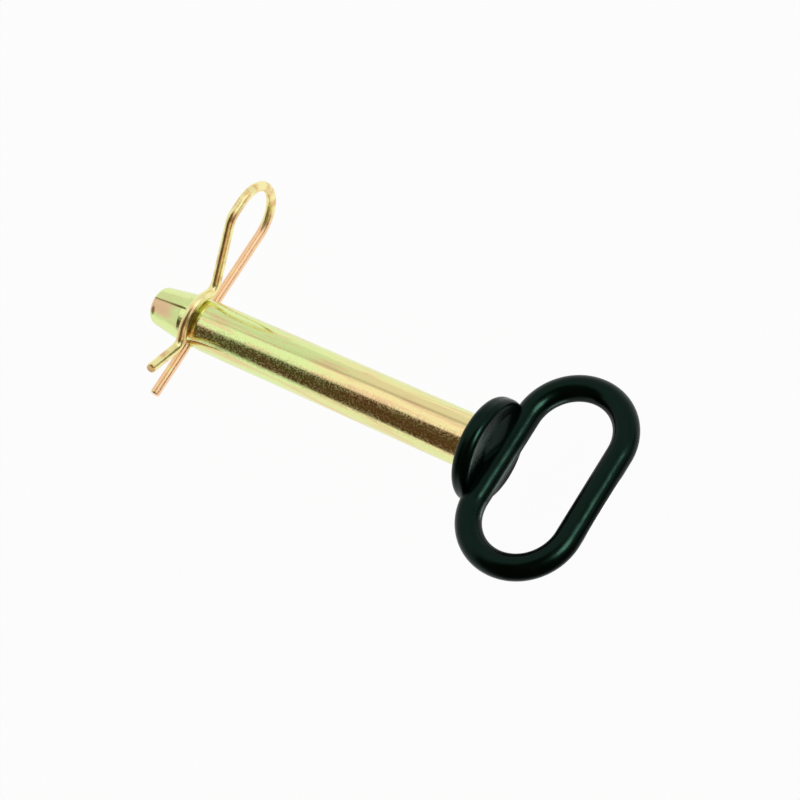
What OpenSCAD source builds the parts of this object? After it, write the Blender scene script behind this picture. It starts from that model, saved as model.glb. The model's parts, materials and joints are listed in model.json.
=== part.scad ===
// Hitch pin: a forged steel pin with a ring handle welded across its head, a dipped
// vinyl skin over head and ring, and a wire hitch clip through its cross-hole.
// It lies as it comes to rest, on the rim of its head, the root of its nose and the
// bow of its clip. The origin is the middle of the seating shoulder, +X runs along
// the pin to the handle, +Y to the clip's bow, and +Z is up.

/* [Pin] */
// Diameter of the shank
pin_d = 25.4; // [20:0.1:31]
// Seating shoulder to the middle of the cross-hole
grip = 164; // [120:1:220]
// Middle of the cross-hole back to where the full diameter ends
end_back = 5.25; // [4.5:0.05:8]
// How much the radius shrinks there, towards the nose
end_drop = 0.2; // [0.1:0.05:0.4]
// Middle of the cross-hole to the end of the nose
hole_to_tip = 25.4; // [22:0.1:36]
// Length of the tapered nose
nose_len = 20; // [10:0.5:22]
// How much the radius shrinks along the nose
nose_drop = 2.9; // [1:0.1:5]
// Rounding of the edge at the end of the nose
tip_edge_r = 2.2; // [0.5:0.1:4]
// Depth of the bevel round each mouth of the cross-hole
hole_bevel = 0.6; // [0.2:0.1:1]

/* [Head] */
// Diameter of the forged head
head_d = 47.6; // [42:0.1:58]
// Thickness of the forged head
head_t = 6.3; // [5:0.1:8]
// Rounding of the head's two edges
head_edge_r = 2; // [0.5:0.1:2.4]

/* [Handle] */
// Diameter of the handle's rod
rod_d = 9.5; // [7:0.1:12]
// Width of the ring, between rod centres
ring_w = 47.9; // [40:0.1:60]
// Length of the ring, between rod centres
ring_len = 92.6; // [75:0.1:120]
// How deep the rod is seated into the head
rod_seat = 0.8; // [0.1:0.05:1]

/* [Welds] */
// Height above the head at which the two slopes of a bead's flat cone would meet
bead_rise = 4.9; // [3:0.1:5.5]
// Radius of the cone's outline on the head
bead_toe_r = 17; // [14:0.5:18]
// Middle of the cone from the middle of the head, along the rod
bead_along = 5; // [0:0.5:7]
// Middle of the cone beyond the middle of the rod, seen from the bead's own side
bead_across = 3; // [1:0.5:5]

/* [Vinyl coat] */
// Thickness of the dipped skin
coat_t = 1.3; // [1.1:0.1:2]

/* [Clip] */
// Diameter of the clip's wire
wire_d = 4.76; // [3.5:0.02:5.5]
// Play of the wire in the cross-hole, on the diameter
hole_play = 0.8; // [0.4:0.1:1.6]
// Gap between the clip's seat and the shank
seat_gap = 0.4; // [0.35:0.05:0.6]
// Length of the straight leg beyond the pin's axis
leg_tail = 42; // [36:0.5:60]
// Pin's axis to the middle of the bow
bow_reach = 53.3; // [48:0.1:70]
// Radius of the bow, to the middle of the wire
bow_r = 16.75; // [14:0.05:20]
// Radius of the bend where the curved leg leaves the bow
shoulder_r = 8; // [5:0.5:12]
// Angle that this bend turns through
shoulder_turn = 43; // [38:1:50]
// Radius of the bends on each side of the seat
waist_r = 6; // [4:0.5:7]
// Distance between the two legs at the waist nearer the bow
upper_waist = 9; // [7:0.1:10]
// Distance between the two legs at the waist nearer the ends
lower_waist = 7.2; // [6:0.1:9]
// Angle of the curved leg's lead-in against the straight leg
lead_turn = 30.6; // [15:0.5:40]
// Length of the straight lead-in
lead_len = 19; // [8:0.5:24]
// Bevel on the two cut ends of the wire
wire_bevel = 0.5; // [0.2:0.1:0.9]
// How far the cross-hole is turned from the plane of the handle
hole_turn = 2.8; // [-5:0.1:20]
// How far the clip leans from the cross-hole towards the handle
clip_lean = 7.3; // [-8:0.1:8]

/* [Hidden] */
$fn = 96;

pin_r = pin_d / 2;
end_r = pin_r - end_drop;
head_r = head_d / 2;
rod_r = rod_d / 2;
wire_r = wire_d / 2;

// The nose's rounded edge stands this much proud, so that it surely meets both sides.
round_over = 0.001;

// Places along the pin, from the seating shoulder on the coated head.
tip_x = -(grip + hole_to_tip);
nose_x = tip_x + nose_len;
full_x = -(grip - end_back);
back_x = coat_t + head_t;
rod_x = back_x + rod_r - rod_seat;
nose_angle = atan2(nose_drop, nose_len);

face_r = head_r - head_edge_r;
// The fillet between shank and head is as deep as the skin, which ends on it.
neck_fillet_r = coat_t;

// The clip is drawn in its own plane: its straight leg along x, the pin's axis at
// the origin, and the curved leg on the +y side. seat_r is the seat's middle line.
seat_r = end_r + wire_r + seat_gap;
upper_seat_a = asin((upper_waist + waist_r) / (seat_r + waist_r));
lower_seat_a = 180 - asin((lower_waist + waist_r) / (seat_r + waist_r));
upper_mid = (seat_r + waist_r) * [cos(upper_seat_a), sin(upper_seat_a)];
lower_mid = (seat_r + waist_r) * [cos(lower_seat_a), sin(lower_seat_a)];
// Direction across the slanting run from waist to shoulder, towards the leg
slant = [sin(shoulder_turn), -cos(shoulder_turn)];
slant_start = upper_mid + waist_r * slant;
// The shoulder bend starts on the flat top of the bow and ends on the slanting run.
shoulder_drop = 2 * bow_r - shoulder_r - slant_start[1];
shoulder_x = slant_start[0] + (shoulder_r + shoulder_drop * cos(shoulder_turn)) / sin(shoulder_turn);
shoulder_mid = [shoulder_x, 2 * bow_r - shoulder_r];
lead_a = 90 - lead_turn;
lead_start = lower_mid + waist_r * [cos(lead_a + 180), sin(lead_a + 180)];
lead_dir = [-cos(lead_turn), sin(lead_turn)];
// Where straight wire runs on into a bend
into_bend = 0.2;
bend_swell = 0.03;

// Rest: the rim of the coated head and the root of the nose set the pitch.
rim_r = head_edge_r + coat_t;
rim_ring = head_r + coat_t - rim_r;
rest_a = rim_ring - end_r;
rest_b = rim_r - nose_x;
pitch = atan2(rest_a, rest_b) + asin(rim_r / norm([rest_a, rest_b]));
floor_z = rim_r * sin(pitch) - rim_ring * cos(pitch) - rim_r;

// The pin rolls towards the bow until the bow meets the floor.
leg_dir = [0, cos(hole_turn), sin(hole_turn)];
clip_dir = [sin(clip_lean), -sin(hole_turn) * cos(clip_lean), cos(hole_turn) * cos(clip_lean)];
function up_at(roll) = [sin(pitch), -sin(roll) * cos(pitch), cos(roll) * cos(pitch)];
function bow_depth(leg, side) = leg * bow_reach + side * bow_r + norm([leg, side]) * bow_r;
function bow_gap(roll) = let (up = up_at(roll))
    -floor_z - wire_r + up[0] * -grip - bow_depth(-up * leg_dir, -up * clip_dir);
function rest_roll(low, high, turns) = let (mid = (low + high) / 2)
    turns == 0 ? mid
    : bow_gap(mid) > 0 ? rest_roll(mid, high, turns - 1) : rest_roll(low, mid, turns - 1);
roll = rest_roll(0, 60, 40);

// Turns what stands in the pin's own axes into the pose in which it rests.
module lying() {
    rotate([0, -pitch, 0]) rotate([-roll, 0, 0]) children();
}

// Stands a clip-plane shape in the cross-hole.
module on_pin() {
    translate([-grip, 0, 0]) rotate([hole_turn, 0, 0]) rotate([0, clip_lean, 0])
        rotate([90, 0, 90]) children();
}

// Spins a profile of [distance along the pin, radius] about the pin's axis.
module spun() {
    rotate([0, 90, 0]) rotate([0, 0, 90]) rotate_extrude() rotate(-90) mirror([1, 0]) children();
}

// Section of a disc with rounded edges, from x0 to x1 along the pin.
module disc_section(x0, x1, r, edge_r) {
    translate([x0, 0]) square([x1 - x0, r - edge_r]);
    translate([x0 + edge_r, 0]) square([x1 - x0 - 2 * edge_r, r]);
    for (x = [x0 + edge_r, x1 - edge_r])
        translate([x, r - edge_r]) circle(edge_r);
}

// Section of the shank: full diameter, the end turned a hair smaller from just before
// the cross-hole, and the nose, a cone with a rounded end edge.
module shank_section() {
    edge_y = end_r - nose_drop + tip_edge_r * (tan(nose_angle) - 1 / cos(nose_angle));
    edge_mid = [tip_edge_r, edge_y];
    translate([tip_x, 0]) {
        polygon([
            [0, 0],
            [back_x - tip_x, 0],
            [back_x - tip_x, pin_r],
            [full_x - tip_x, pin_r],
            [full_x - tip_x - end_drop, end_r],
            [nose_len, end_r],
            edge_mid + tip_edge_r * [-sin(nose_angle), cos(nose_angle)],
            edge_mid,
            [0, edge_y]
        ]);
        translate(edge_mid) circle(tip_edge_r + round_over);
    }
}

// The cross-hole and the bevel round each of its mouths.
module cross_hole() {
    hole_r = (wire_d + hole_play) / 2;
    past = 1;
    translate([-grip, 0, 0]) rotate([hole_turn, 0, 0]) {
        rotate([90, 0, 0]) cylinder(h = pin_d + 2 * past, r = hole_r, center = true);
        for (side = [-90, 90])
            rotate([side, 0, 0]) translate([0, 0, end_r - hole_bevel])
                cylinder(h = hole_bevel + past, r1 = hole_r, r2 = hole_r + hole_bevel + past);
    }
}

// Closed ring of round rod, standing on the head: two half turns, two straight runs.
module ring(r) {
    run = ring_len - ring_w;
    translate([rod_x + ring_w / 2, 0, 0]) {
        for (side = [-1, 1]) {
            translate([0, side * run / 2, 0]) rotate([0, 0, 90 * side - 90])
                rotate_extrude(angle = 180) translate([ring_w / 2, 0]) circle(r);
            translate([side * ring_w / 2, 0, 0]) rotate([90, 0, 0])
                cylinder(h = run, r = r, center = true);
        }
    }
}

// The flat cone of one bead, or with skin the coat's cone that lies over it.
module bead_cone(skin) {
    slope = atan2(bead_rise, bead_toe_r);
    height = bead_rise + skin / cos(slope);
    intersection() {
        translate([back_x, bead_along, -bead_across]) rotate([0, 90, 0])
            cylinder(h = height, r1 = bead_toe_r * height / bead_rise, r2 = 0);
        translate([back_x, 0, 0]) rotate([0, 90, 0]) cylinder(h = height, r = face_r);
        translate([back_x, -face_r, 0]) cube([height, 2 * face_r, face_r]);
    }
}

module bead() {
    difference() {
        bead_cone(0);
        ring(rod_r);
    }
}

// Forged pin: nose, shank and head in one piece, drilled across behind the nose.
module forging() {
    difference() {
        spun() {
            shank_section();
            disc_section(coat_t, back_x, head_r, head_edge_r);
            difference() {
                translate([coat_t - neck_fillet_r, pin_r - neck_fillet_r])
                    square(2 * neck_fillet_r);
                translate([coat_t - neck_fillet_r, pin_r + neck_fillet_r]) circle(neck_fillet_r);
            }
        }
        cross_hole();
        ring(rod_r);
    }
}

// Yellow-zinc plated pin.
module shank() {
    color("#e0d69a") lying() forging();
}

// Steel rod bent to a closed ring; the coat hides it.
module handle_ring() {
    color("#6f7072") lying() ring(rod_r);
}

module upper_weld() {
    color("#6f7072") lying() bead();
}

// The pin is turned over for the second bead.
module lower_weld() {
    color("#6f7072") lying() rotate([180, 0, 0]) bead();
}

// Dipped skin over head, ring and beads, open round the shank.
module vinyl_coat() {
    color("#101818") lying() difference() {
        union() {
            spun() disc_section(0, back_x + coat_t, head_r + coat_t, rim_r);
            ring(rod_r + coat_t);
            for (side = [0, 180])
                rotate([side, 0, 0]) bead_cone(coat_t);
        }
        forging();
        ring(rod_r);
        for (side = [0, 180])
            rotate([side, 0, 0]) bead();
    }
}

// A straight run of wire between two points of the clip's plane; end_bevel bevels
// its far end, where the wire is cut.
module wire_run(from, to, end_bevel = 0) {
    along = to - from;
    run = norm(along) - end_bevel;
    translate([from[0], from[1], 0]) rotate([0, 90, atan2(along[1], along[0])]) {
        cylinder(h = run, r = wire_r);
        if (end_bevel > 0)
            translate([0, 0, run]) cylinder(h = end_bevel, r1 = wire_r, r2 = wire_r - end_bevel);
    }
}

// Wire that turns about mid from one angle to another.
module wire_arc(mid, arc_r, from, to, r) {
    translate([mid[0], mid[1], 0]) rotate(from)
        rotate_extrude(angle = to - from) translate([arc_r, 0]) circle(r);
}

// Hitch clip: one wire, with a straight leg through the pin and a curved leg over it.
// The straight runs and the seat reach a little way into the bends, which are a hair
// thicker, as bent wire is.
module hitch_clip() {
    bend_wire_r = wire_r + bend_swell;
    top_start = [bow_reach, 2 * bow_r];
    top_end = [shoulder_x, 2 * bow_r];
    slant_top = shoulder_mid - shoulder_r * slant;
    slant_dir = [cos(shoulder_turn), sin(shoulder_turn)];
    seat_into = into_bend / seat_r * 180 / PI;
    color("#e2cf9c") lying() on_pin() {
        wire_run([bow_reach + into_bend, 0], [-leg_tail, 0], wire_bevel);
        wire_arc([bow_reach, bow_r], bow_r, -90, 90, bend_wire_r);
        wire_run(top_start + [into_bend, 0], top_end - [into_bend, 0]);
        wire_arc(shoulder_mid, shoulder_r, 90, 90 + shoulder_turn, bend_wire_r);
        wire_run(slant_top + into_bend * slant_dir, slant_start - into_bend * slant_dir);
        wire_arc(upper_mid, waist_r, 180 + upper_seat_a, 270 + shoulder_turn, bend_wire_r);
        wire_arc([0, 0], seat_r, upper_seat_a - seat_into, lower_seat_a + seat_into, wire_r);
        wire_arc(lower_mid, waist_r, 180 + lead_a, 180 + lower_seat_a, bend_wire_r);
        wire_run(lead_start - into_bend * lead_dir, lead_start + lead_len * lead_dir, wire_bevel);
    }
}

shank();
handle_ring();
upper_weld();
lower_weld();
vinyl_coat();
hitch_clip();
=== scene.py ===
# A hitch pin, lying as it comes to rest: a plated steel pin with a vinyl-dipped ring
# handle, and the spring clip that locks it.
import json
import math

import bpy
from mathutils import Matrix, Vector


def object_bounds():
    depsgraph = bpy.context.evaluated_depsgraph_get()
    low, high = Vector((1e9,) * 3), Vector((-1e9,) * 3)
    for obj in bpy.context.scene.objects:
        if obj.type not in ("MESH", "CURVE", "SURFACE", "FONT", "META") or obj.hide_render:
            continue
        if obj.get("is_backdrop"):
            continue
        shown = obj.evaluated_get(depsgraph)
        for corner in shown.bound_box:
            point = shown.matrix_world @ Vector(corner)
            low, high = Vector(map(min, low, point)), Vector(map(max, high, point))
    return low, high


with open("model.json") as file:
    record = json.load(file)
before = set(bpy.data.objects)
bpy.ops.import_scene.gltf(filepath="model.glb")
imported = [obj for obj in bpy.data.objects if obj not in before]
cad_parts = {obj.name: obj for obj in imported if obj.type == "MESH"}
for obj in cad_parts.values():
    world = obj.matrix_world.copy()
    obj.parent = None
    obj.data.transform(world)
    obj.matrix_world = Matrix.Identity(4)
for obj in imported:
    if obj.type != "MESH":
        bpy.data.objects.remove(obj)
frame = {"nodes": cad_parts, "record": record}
cad_low, cad_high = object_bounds()
scene = bpy.context.scene


# ---- The camera -----------------------------------------------------------------------
# A long lens held close to a metre above the card, tilted so that the pin runs down
# the frame from the clip to the handle.
SENSOR_MM, LENS_MM = 36, 96.39
NEAREST, FARTHEST = 0.05, 20
CAMERA_AT = (0.35461, -0.08430, 0.88623)
CAMERA_TURN = (15.8699, 19.3450, 28.1611)

camera = bpy.data.objects.new("camera", bpy.data.cameras.new("camera"))
scene.collection.objects.link(camera)
scene.camera = camera
camera.data.sensor_width = SENSOR_MM
camera.data.lens = LENS_MM
camera.data.clip_start = NEAREST
camera.data.clip_end = FARTHEST
camera.location = CAMERA_AT
camera.rotation_euler = [math.radians(turn) for turn in CAMERA_TURN]
scene.view_settings.view_transform = "Standard"


# ---- The card -------------------------------------------------------------------------
# White card lies a little under the part, as under clear glass, so that nothing is in
# the way when the clip is pulled. To reflections it shows a painted pool of light that
# fades to the right and the front.
CARD_HALF, CARD_BELOW = 2.5, 0.012
CARD_WHITE, WHITE = "#fbfbf9", (1, 1, 1, 1)
# The share of its own light in what the camera sees of the card. The rest falls on it
# from the room, so the part's shadow stays.
CARD_GLOW = 0.96
POOL_WAY = (0.9, -0.45, 0.0)
POOL_NEAR, POOL_FAR = 0.03, 0.17
POOL_BRIGHT, POOL_DARK = 0.96, 0.04
# Next to the head a painted shade, reckoned from occlusion, darkens the card's glow that
# metal and vinyl mirror.
SHADE_REACH, SHADE_DEPTH, SHADE_SAMPLES = 0.05, 2.6, 8
SHADE_SIDE = (-0.6, 0.2, 0.77)
SHADE_FROM, SHADE_TO = -0.01, 0.01
# A brighter painted pool of light lies on the card under the opening of the ring, seen
# only in reflections.
LEVEL = (1, 1, 0)
RING_POOL_AT, RING_POOL_BRIGHT = (0.061, 0.0, 0.0), 5.5
RING_POOL_INNER, RING_POOL_OUTER = 0.013, 0.018


def linear(hex_code):
    """The linear colour of an sRGB hex code."""
    parts = [int(hex_code[i:i + 2], 16) / 255 for i in (1, 3, 5)]
    lit = [c / 12.92 if c <= 0.04045 else ((c + 0.055) / 1.055) ** 2.4 for c in parts]
    return lit + [1.0]


def node(tree, kind, inputs=None, **settings):
    """Adds a node. Its settings are its properties. Each input is given a value, a hex
    colour, a socket, or a node, of which the first output in use is taken."""
    made = tree.nodes.new(kind)
    for name, value in settings.items():
        setattr(made, name, value)
    for name, value in (inputs or {}).items():
        if isinstance(name, str):
            socket = next(s for s in made.inputs if s.enabled and s.name == name)
        else:
            socket = made.inputs[name]
        if isinstance(value, bpy.types.Node):
            value = next(s for s in value.outputs if s.enabled)
        if isinstance(value, bpy.types.NodeSocket):
            tree.links.new(value, socket)
        else:
            socket.default_value = linear(value) if isinstance(value, str) else value
    return made


def empty_material(name):
    """A new material and its node tree, with no node in it."""
    material = bpy.data.materials.new(name)
    material.use_nodes = True
    material.node_tree.nodes.clear()
    return material, material.node_tree


# Matt card gives an even white ground to the camera. To reflections it glows with the
# painted pools of light and painted shade instead, and the plating mirrors it as pale
# bands.
card, tree = empty_material("white card, matt paper")
path = node(tree, "ShaderNodeLightPath")
spot = node(tree, "ShaderNodeNewGeometry").outputs["Position"]
matt = node(tree, "ShaderNodeBsdfDiffuse", {"Color": CARD_WHITE})

# Painted pool of light: the card's glow, seen only in reflections, fades along POOL_WAY.
along = node(tree, "ShaderNodeVectorMath", {0: spot, 1: POOL_WAY},
             operation="DOT_PRODUCT")
pool = node(tree, "ShaderNodeMapRange",
            {"Value": along, "From Min": POOL_NEAR, "From Max": POOL_FAR,
             "To Min": POOL_BRIGHT, "To Max": POOL_DARK},
            interpolation_type="SMOOTHSTEP")
# Painted shade beside the head: occlusion toward the lit side, only in what reflections
# see.
open_sky = node(tree, "ShaderNodeAmbientOcclusion",
                {"Distance": SHADE_REACH, "Normal": SHADE_SIDE},
                samples=SHADE_SAMPLES).outputs["AO"]
shade = node(tree, "ShaderNodeMath", {0: open_sky, 1: SHADE_DEPTH}, operation="POWER")
place = node(tree, "ShaderNodeSeparateXYZ", {0: spot}).outputs["X"]
by_head = node(tree, "ShaderNodeMapRange",
               {"Value": place, "From Min": SHADE_FROM, "From Max": SHADE_TO})
shade = node(tree, "ShaderNodeMix", {"Factor": by_head, "A": 1.0, "B": shade})
painted_glow = node(tree, "ShaderNodeMath", {0: pool, 1: shade}, operation="MULTIPLY")

# The painted pool of light under the ring's opening.
ring_gap = node(tree, "ShaderNodeVectorMath", {0: spot, 1: LEVEL}, operation="MULTIPLY")
ring_gap = node(tree, "ShaderNodeVectorMath", {0: ring_gap, 1: RING_POOL_AT},
                operation="DISTANCE")
painted_ring_pool = node(tree, "ShaderNodeMapRange",
                 {"Value": ring_gap,
                  "From Min": RING_POOL_INNER, "From Max": RING_POOL_OUTER,
                  "To Min": RING_POOL_BRIGHT, "To Max": 0.0},
                 interpolation_type="SMOOTHSTEP")
painted_glow = node(tree, "ShaderNodeMath", {0: painted_glow, 1: painted_ring_pool}, operation="MAXIMUM")

# The camera sees the card's glow as even white; glossy rays see only the painted glow.
strength = node(tree, "ShaderNodeMix",
                {"Factor": path.outputs["Is Camera Ray"], "A": painted_glow, "B": 1.0})
glow = node(tree, "ShaderNodeEmission", {"Color": WHITE, "Strength": strength})
to_camera = node(tree, "ShaderNodeMath",
                 {0: path.outputs["Is Camera Ray"], 1: CARD_GLOW}, operation="MULTIPLY")
share = node(tree, "ShaderNodeMath",
             {0: to_camera, 1: path.outputs["Is Glossy Ray"]}, operation="MAXIMUM")
both = node(tree, "ShaderNodeMixShader", {0: share, 1: matt, 2: glow})
node(tree, "ShaderNodeOutputMaterial", {"Surface": both})

card_level = cad_low.z - CARD_BELOW
corners = [(x * CARD_HALF, y * CARD_HALF, card_level)
           for x, y in ((-1, -1), (1, -1), (1, 1), (-1, 1))]
floor_mesh = bpy.data.meshes.new("table")
floor_mesh.from_pydata(corners, [], [(0, 1, 2, 3)])
floor = bpy.data.objects.new("table", floor_mesh)
floor.data.materials.append(card)
scene.collection.objects.link(floor)
floor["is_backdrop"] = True


# ---- The soft boxes -------------------------------------------------------------------
# Square cloth-fronted lamps stand round the part, shaded so that one lights only the
# vinyl and two light only the clip. The last has a warmer cloth.
SOFT_BOX_FAR = 1.2
# Each soft box: the node it lights, the way to it, its size, its watts and its colour.
SOFT_BOXES = (("vinyl_coat", (0.711, 0.217, 0.669), 0.48, 13.0, "#ffffff"),
              ("hitch_clip", (0.620, 0.385, 0.685), 1.10, 3.7, "#ffffff"),
              ("hitch_clip", (0.600, -0.700, 0.388), 0.95, 2.3, "#ffd8bc"))

for part, way, size, watts, cloth in SOFT_BOXES:
    soft_box = bpy.data.objects.new("soft_box", bpy.data.lights.new("soft_box", "AREA"))
    soft_box.data.energy = watts
    soft_box.data.color = linear(cloth)[:3]
    soft_box.data.size = size
    soft_box.location = Vector(way) * SOFT_BOX_FAR
    soft_box.rotation_euler = Vector(way).to_track_quat("Z", "Y").to_euler()
    soft_box.visible_camera = False
    scene.collection.objects.link(soft_box)
    lit = bpy.data.collections.new("lit by a soft box")
    lit.objects.link(frame["nodes"][part])
    soft_box.light_linking.receiver_collection = lit


# ---- The room -------------------------------------------------------------------------
# Pale painted walls stand round the card under a lit ceiling, with a slightly darker
# strip high on the walls, and a brown curtain hangs in front. The plating mirrors it.
WALL, CEILING = 0.8, 1.0
CEILING_FROM, CEILING_TO = 0.56, 0.68
STRIP_HEIGHT, STRIP_HALF, STRIP_SHARE = 0.52, 0.09, 0.9
CURTAIN_BROWN = "#503f28"
CURTAIN_WAY = (0.472, -0.608, 0.638)
CURTAIN_FROM, CURTAIN_TO = 0.31, 0.37

world = bpy.data.worlds.new("room")
scene.world = world
world.use_nodes = True
tree = world.node_tree
tree.nodes.clear()
path = node(tree, "ShaderNodeLightPath")
way = node(tree, "ShaderNodeTexCoord").outputs["Generated"]
high = node(tree, "ShaderNodeSeparateXYZ", {0: way}).outputs["Z"]
ceiling = node(tree, "ShaderNodeMapRange",
               {"Value": high, "From Min": CEILING_FROM, "From Max": CEILING_TO,
                "To Min": WALL, "To Max": CEILING}, interpolation_type="SMOOTHSTEP")
off_strip = node(tree, "ShaderNodeMath", {0: high, 1: STRIP_HEIGHT},
                 operation="SUBTRACT")
off_strip = node(tree, "ShaderNodeMath", {0: off_strip}, operation="ABSOLUTE")
strip = node(tree, "ShaderNodeMapRange",
             {"Value": off_strip, "From Max": STRIP_HALF, "To Min": STRIP_SHARE})
level = node(tree, "ShaderNodeMath", {0: ceiling, 1: strip}, operation="MULTIPLY")
forward = node(tree, "ShaderNodeVectorMath", {0: way, 1: CURTAIN_WAY},
               operation="DOT_PRODUCT")
curtain = node(tree, "ShaderNodeMapRange",
               {"Value": forward, "From Min": CURTAIN_FROM, "From Max": CURTAIN_TO},
               interpolation_type="SMOOTHSTEP")
colour = node(tree, "ShaderNodeMix",
              {"Factor": curtain, "A": level, "B": CURTAIN_BROWN}, data_type="RGBA")
room = node(tree, "ShaderNodeBackground", {"Color": colour, "Strength": 1.0})
white = node(tree, "ShaderNodeBackground", {"Color": WHITE, "Strength": 1.0})
both = node(tree, "ShaderNodeMixShader",
            {0: path.outputs["Is Camera Ray"], 1: room, 2: white})
node(tree, "ShaderNodeOutputWorld", {"Surface": both})


# ---- The shank ------------------------------------------------------------------------
# A forged steel pin, turned to size, then zinc plated and dipped in yellow chromate. The
# film runs from pale gold at the handle to a greener yellow where it drained to the nose.
SHANK_GOLD, SHANK_GREEN, SHANK_PINK = "#f8e7a6", "#e2f2a4", "#f2c498"
PIN_RADIUS = 0.0127
MM_PER_M = 1000
# Slow drift in the film makes the edge of the green ragged.
DRIFT_MM, DRIFT_LONG, DRIFT_DETAIL, DRIFT_MIDDLE = 9, 6, 3.0, 0.5
DRAIN_FROM, DRAIN_TO, DRAIN_RAGGED = 0.045, 0.11, 0.07
# The flanks of the pin, turned from straight up, are painted greener: a painted sheen for
# the film's colour at a glancing view.
SIDE_FROM, SIDE_TO, SIDE_SHARE = math.radians(34), math.radians(58), 0.65
# Pink streaks run the way that the bath drained, fainter on the nose.
STREAK_MM, STREAK_LONG, STREAK_DETAIL = 2.2, 18, 2.0
STREAK_FROM, STREAK_TO, STREAK_SHARE = 0.48, 0.64, 0.6
NOSE_ROOT, NOSE_STEP, NOSE_STREAKS = 0.167, 0.001, 0.3
# The rolled bar's seam runs the length of the pin and turns a little round it. The
# nose shows it as an open line, the polished shank only as a soft streak.
SEAM_BROWN = "#6f5c2c"
SEAM_AT_HEAD, SEAM_TURN_PER_M = math.radians(25), math.radians(-93)
SEAM_HALF, SEAM_ON_SHANK = 0.0008, 0.3
SEAM_FULL = SEAM_HALF / 3
WEAR_HALF, WEAR_SHARE = 0.0014, 0.22
# A pinker patch is painted on the upper face of the nose, a painted sheen for the film's
# colour seen head-on.
PAINTED_SHEEN_PINK = "#f4cea2"
PATCH_FROM, PATCH_STEP = 0.171, 0.009
PATCH_TURN, PATCH_OUTER, PATCH_INNER = 0.2, 0.42, 0.22
# A knock on the rim of the tip has gone through the plating, and has rusted.
KNOCK_BROWN = "#6a4426"
KNOCK_AT, KNOCK_TURN, KNOCK_SHARE = 0.1866, math.radians(-28), 0.8
KNOCK_LONG, KNOCK_WIDE, KNOCK_FULL = 0.0038, 0.0016, 0.4
# Real pits and turning lines are a third as coarse; these are drawn large enough to show.
PIT_MM, PIT_DETAIL, PIT_GRIT = 0.9, 2.0, 0.6
PIT_FROM, PIT_TO = 0.46, 0.6
TURNING_MM, TURNING_ROUND, TURNING_DETAIL = 0.5, 30, 1.0
TURNING_SHARE, SEAM_SINK, PLATE_RELIEF = 0.15, -0.6, 0.000006
PLATE_BRIGHT, PLATE_PITTED = 0.09, 0.26
# The way along the pin to its nose, and the way up from the pin.
pin_way = Vector(frame["record"]["mounts"][0]["axis"]).normalized()
pin_up = (Vector((0, 0, 1)) - pin_way.z * pin_way).normalized()


def dress(name, material):
    """Gives a CAD node its material."""
    for slot in frame["nodes"][name].material_slots:
        slot.material = material


# Bright zinc mirrors the room, softened by the turning and speckled by fine pits.
plate, tree = empty_material("yellow chromate zinc plate on turned steel")
where = node(tree, "ShaderNodeTexCoord").outputs["Object"]
to_nose = node(tree, "ShaderNodeVectorMath", {0: where, 1: pin_way},
               operation="DOT_PRODUCT")
across = node(tree, "ShaderNodeSeparateXYZ", {0: where}).outputs["Y"]
above = node(tree, "ShaderNodeVectorMath", {0: where, 1: pin_up},
             operation="DOT_PRODUCT")
turn = node(tree, "ShaderNodeMath", {0: across, 1: above}, operation="ARCTAN2")

grain = [MM_PER_M / (DRIFT_MM * long) for long in (DRIFT_LONG, 1, 1)]
drift = node(tree, "ShaderNodeMapping", {"Vector": where, "Scale": grain})
drift = node(tree, "ShaderNodeTexNoise",
             {"Vector": drift, "Scale": 1.0, "Detail": DRIFT_DETAIL})
ragged = node(tree, "ShaderNodeMath", {0: drift, 1: DRIFT_MIDDLE}, operation="SUBTRACT")
ragged = node(tree, "ShaderNodeMath", {0: ragged, 1: DRAIN_RAGGED, 2: to_nose},
              operation="MULTIPLY_ADD")
drained = node(tree, "ShaderNodeMapRange",
               {"Value": ragged, "From Min": DRAIN_FROM, "From Max": DRAIN_TO},
               interpolation_type="SMOOTHSTEP")
# Painted sheen: the flanks are painted greener, as the film looks at a glancing view;
# green joins it with the drained film.
painted_sheen_flanks = node(tree, "ShaderNodeMath", {0: turn}, operation="ABSOLUTE")
painted_sheen_flanks = node(tree, "ShaderNodeMapRange",
            {"Value": painted_sheen_flanks, "From Min": SIDE_FROM, "From Max": SIDE_TO,
             "To Max": SIDE_SHARE}, interpolation_type="SMOOTHSTEP")
green = node(tree, "ShaderNodeMath", {0: drained, 1: painted_sheen_flanks}, operation="MAXIMUM")
colour = node(tree, "ShaderNodeMix",
              {"Factor": green, "A": SHANK_GOLD, "B": SHANK_GREEN}, data_type="RGBA")

grain = [MM_PER_M / (STREAK_MM * long) for long in (STREAK_LONG, 1, 1)]
streak = node(tree, "ShaderNodeMapping", {"Vector": where, "Scale": grain})
streak = node(tree, "ShaderNodeTexNoise",
              {"Vector": streak, "Scale": 1.0, "Detail": STREAK_DETAIL})
streak = node(tree, "ShaderNodeMapRange",
              {"Value": streak, "From Min": STREAK_FROM, "From Max": STREAK_TO,
               "To Max": STREAK_SHARE}, interpolation_type="SMOOTHSTEP")
clean = node(tree, "ShaderNodeMapRange",
             {"Value": to_nose,
              "From Min": NOSE_ROOT, "From Max": NOSE_ROOT + NOSE_STEP,
              "To Min": 1.0, "To Max": NOSE_STREAKS})
streak = node(tree, "ShaderNodeMath", {0: streak, 1: clean}, operation="MULTIPLY")
colour = node(tree, "ShaderNodeMix",
              {"Factor": streak, "A": colour, "B": SHANK_PINK}, data_type="RGBA")

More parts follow.
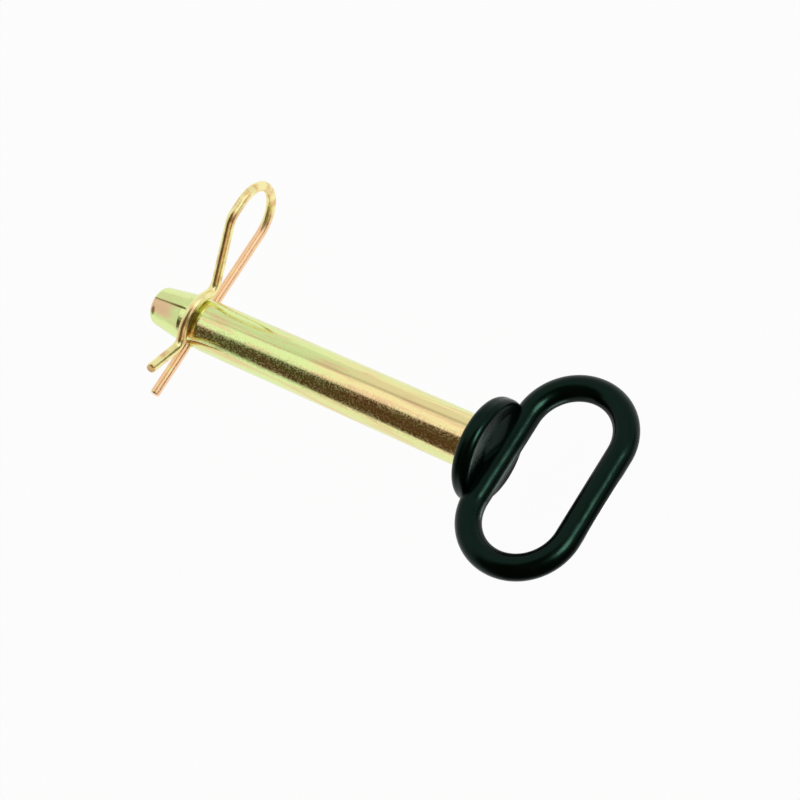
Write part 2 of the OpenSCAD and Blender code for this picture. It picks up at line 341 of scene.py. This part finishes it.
seam_turn = node(tree, "ShaderNodeMath",
                 {0: to_nose, 1: SEAM_TURN_PER_M, 2: SEAM_AT_HEAD},
                 operation="MULTIPLY_ADD")
off_seam = node(tree, "ShaderNodeMath", {0: turn, 1: seam_turn}, operation="SUBTRACT")
off_seam = node(tree, "ShaderNodeMath", {0: off_seam}, operation="ABSOLUTE")
off_seam = node(tree, "ShaderNodeMath", {0: off_seam, 1: PIN_RADIUS},
                operation="MULTIPLY")
fold = node(tree, "ShaderNodeMapRange",
            {"Value": off_seam, "From Min": SEAM_HALF, "From Max": SEAM_FULL},
            interpolation_type="SMOOTHSTEP")
on_nose = node(tree, "ShaderNodeMapRange",
               {"Value": to_nose,
                "From Min": NOSE_ROOT, "From Max": NOSE_ROOT + NOSE_STEP,
                "To Min": SEAM_ON_SHANK}, interpolation_type="SMOOTHSTEP")
line = node(tree, "ShaderNodeMath", {0: fold, 1: on_nose}, operation="MULTIPLY")
worn = node(tree, "ShaderNodeMapRange",
            {"Value": off_seam, "From Min": WEAR_HALF, "From Max": 0.0,
             "To Max": WEAR_SHARE}, interpolation_type="SMOOTHSTEP")
line = node(tree, "ShaderNodeMath", {0: line, 1: worn}, operation="MAXIMUM")
colour = node(tree, "ShaderNodeMix",
              {"Factor": line, "A": colour, "B": SEAM_BROWN}, data_type="RGBA")

# Painted sheen on the upper face of the nose, which faces the camera.
off_patch = node(tree, "ShaderNodeMath", {0: turn, 1: PATCH_TURN}, operation="ADD")
off_patch = node(tree, "ShaderNodeMath", {0: off_patch}, operation="ABSOLUTE")
patch = node(tree, "ShaderNodeMapRange",
             {"Value": off_patch, "From Min": PATCH_OUTER, "From Max": PATCH_INNER},
             interpolation_type="SMOOTHSTEP")
on_tip = node(tree, "ShaderNodeMapRange",
              {"Value": to_nose,
               "From Min": PATCH_FROM, "From Max": PATCH_FROM + PATCH_STEP},
              interpolation_type="SMOOTHSTEP")
patch = node(tree, "ShaderNodeMath", {0: patch, 1: on_tip}, operation="MULTIPLY")
colour = node(tree, "ShaderNodeMix",
              {"Factor": patch, "A": colour, "B": PAINTED_SHEEN_PINK}, data_type="RGBA")

knock_turn = node(tree, "ShaderNodeMath", {0: turn, 1: KNOCK_TURN},
                  operation="SUBTRACT")
knock_round = node(tree, "ShaderNodeMath",
                   {0: knock_turn, 1: PIN_RADIUS / KNOCK_LONG}, operation="MULTIPLY")
knock_along = node(tree, "ShaderNodeMath", {0: to_nose, 1: KNOCK_AT},
                   operation="SUBTRACT")
knock_along = node(tree, "ShaderNodeMath", {0: knock_along, 1: KNOCK_WIDE},
                   operation="DIVIDE")
knock = node(tree, "ShaderNodeCombineXYZ", {0: knock_round, 1: knock_along})
knock = node(tree, "ShaderNodeVectorMath", {0: knock}, operation="LENGTH")
knock = node(tree, "ShaderNodeMapRange",
             {"Value": knock, "From Min": 1.0, "From Max": KNOCK_FULL,
              "To Max": KNOCK_SHARE}, interpolation_type="SMOOTHSTEP")
colour = node(tree, "ShaderNodeMix",
              {"Factor": knock, "A": colour, "B": KNOCK_BROWN}, data_type="RGBA")

pits = node(tree, "ShaderNodeTexNoise",
            {"Vector": where, "Scale": MM_PER_M / PIT_MM, "Detail": PIT_DETAIL,
             "Roughness": PIT_GRIT})
rough = node(tree, "ShaderNodeMapRange",
             {"Value": pits, "From Min": PIT_FROM, "From Max": PIT_TO,
              "To Min": PLATE_BRIGHT, "To Max": PLATE_PITTED},
             interpolation_type="SMOOTHSTEP")
grain = [MM_PER_M / (TURNING_MM * long) for long in (1, TURNING_ROUND, TURNING_ROUND)]
turning = node(tree, "ShaderNodeMapping", {"Vector": where, "Scale": grain})
turning = node(tree, "ShaderNodeTexNoise",
               {"Vector": turning, "Scale": 1.0, "Detail": TURNING_DETAIL})
relief = node(tree, "ShaderNodeMath", {0: turning, 1: TURNING_SHARE, 2: pits},
              operation="MULTIPLY_ADD")
relief = node(tree, "ShaderNodeMath", {0: fold, 1: SEAM_SINK, 2: relief},
              operation="MULTIPLY_ADD")
bump = node(tree, "ShaderNodeBump", {"Height": relief, "Distance": PLATE_RELIEF})
metal = node(tree, "ShaderNodeBsdfPrincipled",
             {"Base Color": colour, "Metallic": 1.0, "Roughness": rough,
              "Normal": bump})
node(tree, "ShaderNodeOutputMaterial", {"Surface": metal})
dress("shank", plate)


# ---- The steel under the vinyl --------------------------------------------------------
# The ring is hot-rolled bar bent round and welded shut; two beads hold it to the head.
# All of it is sealed in the vinyl.
SCALE_GREY, SCALE_BROWN = "#75777a", "#4c4a4b"
SCALE_MM, SCALE_DETAIL = 3.0, 5.0
SCALE_FROM, SCALE_TO = 0.4, 0.65
SCALE_SMOOTH, SCALE_DULL, SCALE_RELIEF = 0.3, 0.65, 0.00005

# Mill scale is a patchy blue grey skin, dull where it is thick.
bar, tree = empty_material("hot rolled steel bar with mill scale")
where = node(tree, "ShaderNodeTexCoord").outputs["Object"]
scale = node(tree, "ShaderNodeTexNoise",
             {"Vector": where, "Scale": MM_PER_M / SCALE_MM, "Detail": SCALE_DETAIL})
patchy = node(tree, "ShaderNodeMapRange",
              {"Value": scale, "From Min": SCALE_FROM, "From Max": SCALE_TO},
              interpolation_type="SMOOTHSTEP")
colour = node(tree, "ShaderNodeMix",
              {"Factor": patchy, "A": SCALE_GREY, "B": SCALE_BROWN}, data_type="RGBA")
rough = node(tree, "ShaderNodeMapRange",
             {"Value": scale, "To Min": SCALE_SMOOTH, "To Max": SCALE_DULL})
bump = node(tree, "ShaderNodeBump", {"Height": scale, "Distance": SCALE_RELIEF})
metal = node(tree, "ShaderNodeBsdfPrincipled",
             {"Base Color": colour, "Metallic": 1.0, "Roughness": rough,
              "Normal": bump})
node(tree, "ShaderNodeOutputMaterial", {"Surface": metal})
for name in ("handle_ring", "upper_weld", "lower_weld"):
    dress(name, bar)


# ---- The vinyl coat -------------------------------------------------------------------
# Head and ring are heated and dipped in liquid vinyl, which gels to a black skin. It
# runs a little before it sets, so the surface wavers.
VINYL_DARK, VINYL_PALE, VINYL_SHEEN = "#000201", "#020504", "#a8ffde"
RUN_MM, RUN_DETAIL = 9, 1.0
RUN_FROM, RUN_TO = 0.3, 0.7
PEEL_MM, PEEL_DETAIL, PEEL_SHARE = 0.8, 2.0, 0.001
VINYL_GLOSSY, VINYL_DULLER, VINYL_RELIEF = 0.22, 0.3, 0.0002
VINYL_IOR, VINYL_MIRROR = 1.53, 0.16

# Dipped vinyl is smooth and glossy, with soft highlights that bend with the runs.
vinyl, tree = empty_material("black dipped vinyl, glossy")
where = node(tree, "ShaderNodeTexCoord").outputs["Object"]
runs = node(tree, "ShaderNodeTexNoise",
            {"Vector": where, "Scale": MM_PER_M / RUN_MM, "Detail": RUN_DETAIL})
peel = node(tree, "ShaderNodeTexNoise",
            {"Vector": where, "Scale": MM_PER_M / PEEL_MM, "Detail": PEEL_DETAIL})
colour = node(tree, "ShaderNodeMix",
              {"Factor": runs, "A": VINYL_DARK, "B": VINYL_PALE}, data_type="RGBA")
rough = node(tree, "ShaderNodeMapRange",
             {"Value": runs, "From Min": RUN_FROM, "From Max": RUN_TO,
              "To Min": VINYL_GLOSSY, "To Max": VINYL_DULLER})
relief = node(tree, "ShaderNodeMath", {0: peel, 1: PEEL_SHARE, 2: runs},
              operation="MULTIPLY_ADD")
bump = node(tree, "ShaderNodeBump", {"Height": relief, "Distance": VINYL_RELIEF})
skin = node(tree, "ShaderNodeBsdfPrincipled",
            {"Base Color": colour, "Roughness": rough, "IOR": VINYL_IOR,
             "Specular IOR Level": VINYL_MIRROR, "Specular Tint": VINYL_SHEEN,
             "Normal": bump})
node(tree, "ShaderNodeOutputMaterial", {"Surface": skin})
dress("vinyl_coat", vinyl)


# ---- The hitch clip -------------------------------------------------------------------
# Spring wire bent round a form, zinc plated and chromated like the pin. Its film drifts
# between gold and brown along the wire, and is pinker on the straight leg.
WIRE_GOLD, WIRE_BROWN, WIRE_PINK = "#fdf3b0", "#ecc48a", "#ffd4a8"
WIRE_DRIFT_MM, WIRE_DRIFT_DETAIL = 7, 3.0
BROWN_FROM, BROWN_TO = 0.45, 0.65
PINK_FROM, PINK_TO, PINK_LEAST = 0.3, 0.5, 0.4
# Real die marks are finer; these are drawn coarse enough to show.
DIE_MARK_MM, DIE_MARK_DETAIL = 0.7, 2.0
DIE_MARK_FROM, DIE_MARK_TO = 0.3, 0.7
WIRE_BRIGHT, WIRE_MARKED, WIRE_RELIEF = 0.28, 0.34, 0.000015
# The straight leg is what lies lower than this, measured square to its length.
LEG_TOP, LEG_STEP = -0.0095, 0.0015
leg_way = Vector(frame["record"]["behaviour"]["joints"][0]["axis"])
leg_up = Vector((0, -leg_way.z, leg_way.y)).normalized()

# Drawn wire keeps fine die marks under the plating, so it mirrors the room more softly
# than the turned pin does.
wire, tree = empty_material("yellow chromate zinc plate on spring wire")
where = node(tree, "ShaderNodeTexCoord").outputs["Object"]
drift = node(tree, "ShaderNodeTexNoise",
             {"Vector": where, "Scale": MM_PER_M / WIRE_DRIFT_MM,
              "Detail": WIRE_DRIFT_DETAIL})
marks = node(tree, "ShaderNodeTexNoise",
             {"Vector": where, "Scale": MM_PER_M / DIE_MARK_MM,
              "Detail": DIE_MARK_DETAIL})
brown = node(tree, "ShaderNodeMapRange",
             {"Value": drift, "From Min": BROWN_FROM, "From Max": BROWN_TO},
             interpolation_type="SMOOTHSTEP")
colour = node(tree, "ShaderNodeMix",
              {"Factor": brown, "A": WIRE_GOLD, "B": WIRE_BROWN}, data_type="RGBA")
above = node(tree, "ShaderNodeVectorMath", {0: where, 1: leg_up},
             operation="DOT_PRODUCT")
leg = node(tree, "ShaderNodeMapRange",
           {"Value": above, "From Min": LEG_TOP + LEG_STEP, "From Max": LEG_TOP},
           interpolation_type="SMOOTHSTEP")
patchy = node(tree, "ShaderNodeMapRange",
              {"Value": drift, "From Min": PINK_FROM, "From Max": PINK_TO,
               "To Min": PINK_LEAST}, interpolation_type="SMOOTHSTEP")
leg = node(tree, "ShaderNodeMath", {0: leg, 1: patchy}, operation="MULTIPLY")
colour = node(tree, "ShaderNodeMix",
              {"Factor": leg, "A": colour, "B": WIRE_PINK}, data_type="RGBA")
rough = node(tree, "ShaderNodeMapRange",
             {"Value": marks, "From Min": DIE_MARK_FROM, "From Max": DIE_MARK_TO,
              "To Min": WIRE_BRIGHT, "To Max": WIRE_MARKED})
bump = node(tree, "ShaderNodeBump", {"Height": marks, "Distance": WIRE_RELIEF})
metal = node(tree, "ShaderNodeBsdfPrincipled",
             {"Base Color": colour, "Metallic": 1.0, "Roughness": rough,
              "Normal": bump})
node(tree, "ShaderNodeOutputMaterial", {"Surface": metal})
dress("hitch_clip", wire)


# ---- Sizes of the part in the scene ---------------------------------------------------
low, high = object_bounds()
